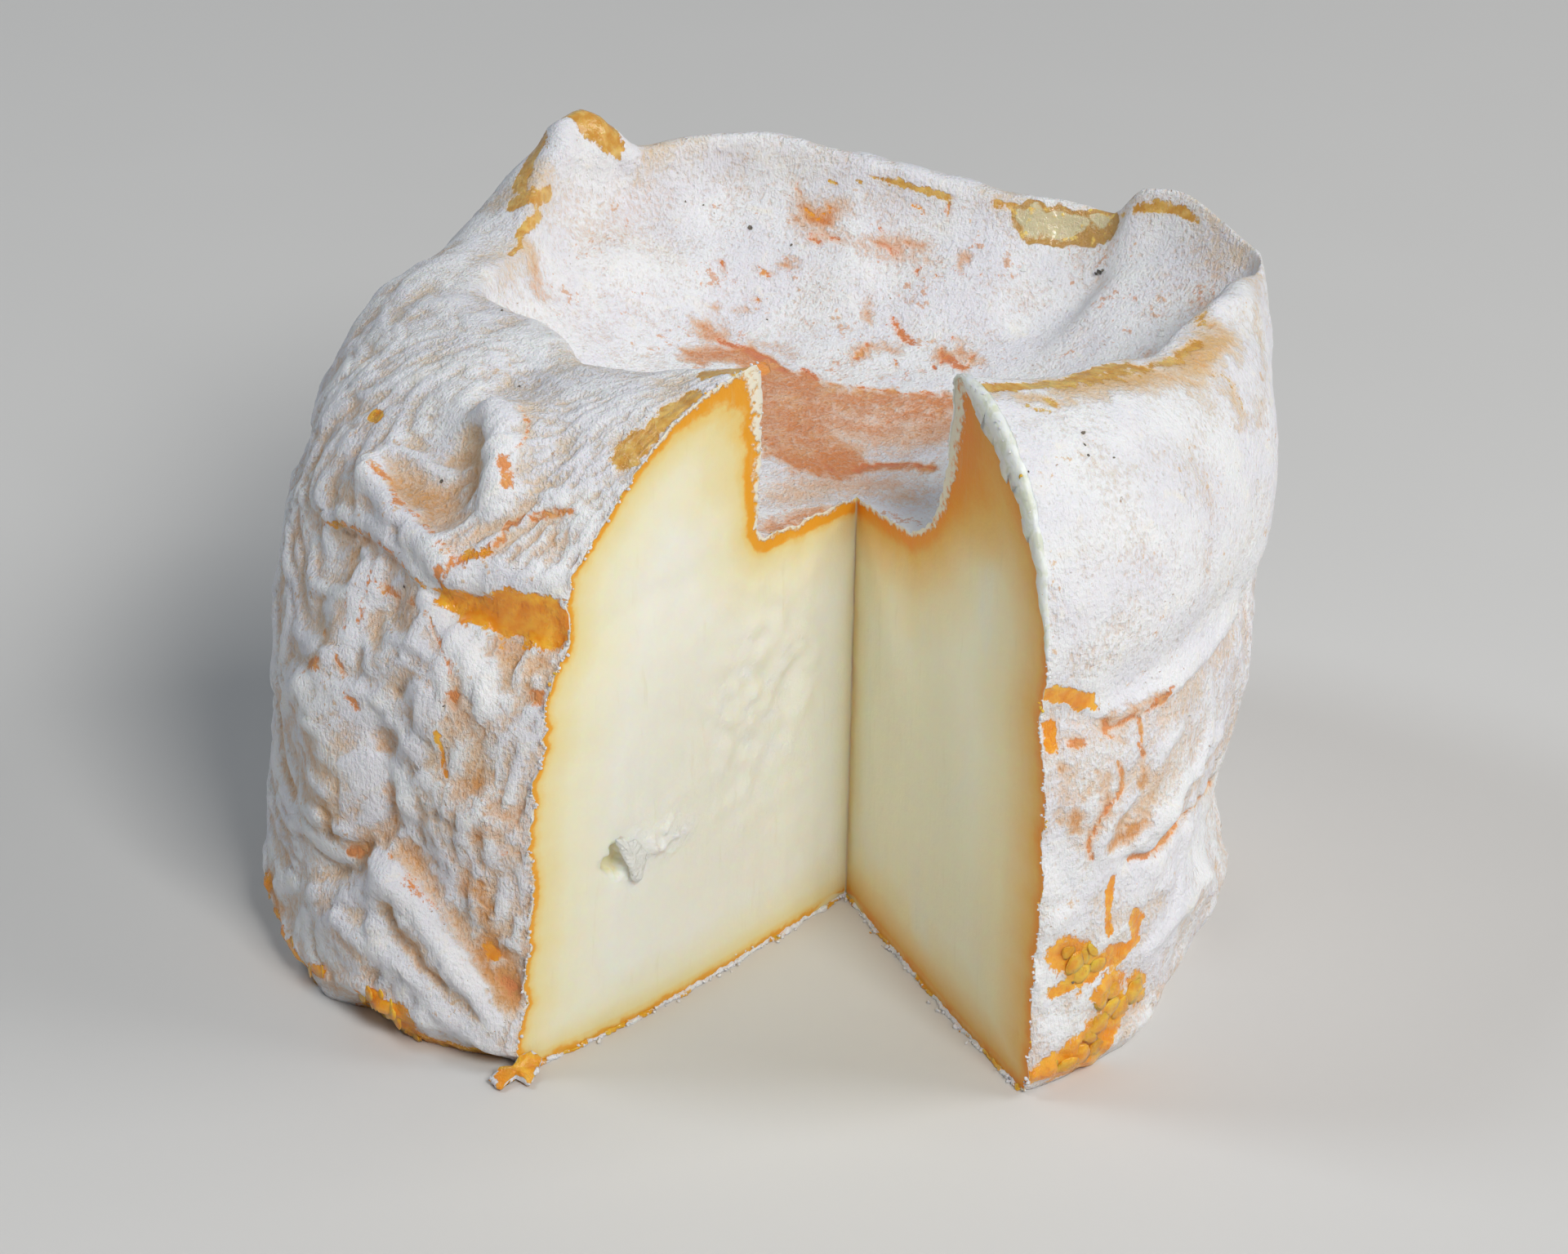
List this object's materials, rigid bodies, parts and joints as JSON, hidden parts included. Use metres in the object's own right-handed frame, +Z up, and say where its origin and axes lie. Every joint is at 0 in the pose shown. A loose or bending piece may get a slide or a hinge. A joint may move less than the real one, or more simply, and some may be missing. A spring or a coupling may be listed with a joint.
{
  "type": "langres cheese",
  "caption": "Small soft washed-rind cheese with a deep sunken top and a wrinkled white-bloomed rind, standing on its base with a wedge cut out.",
  "frame": {"origin": "middle of the cheese's box, on the surface that it stands on", "axes": "+Z up, -Y towards the open side of the cut wedge, +X to the right as seen from that side"},
  "size_m": [0.0842, 0.0788, 0.0572],
  "materials": {
    "rind": "powdery white bloom over an orange washed rind",
    "paste": "smooth moist ivory paste, satin"
  },
  "bodies": {
    "root": {"cheese": "rind"}
  },
  "joints": []
}
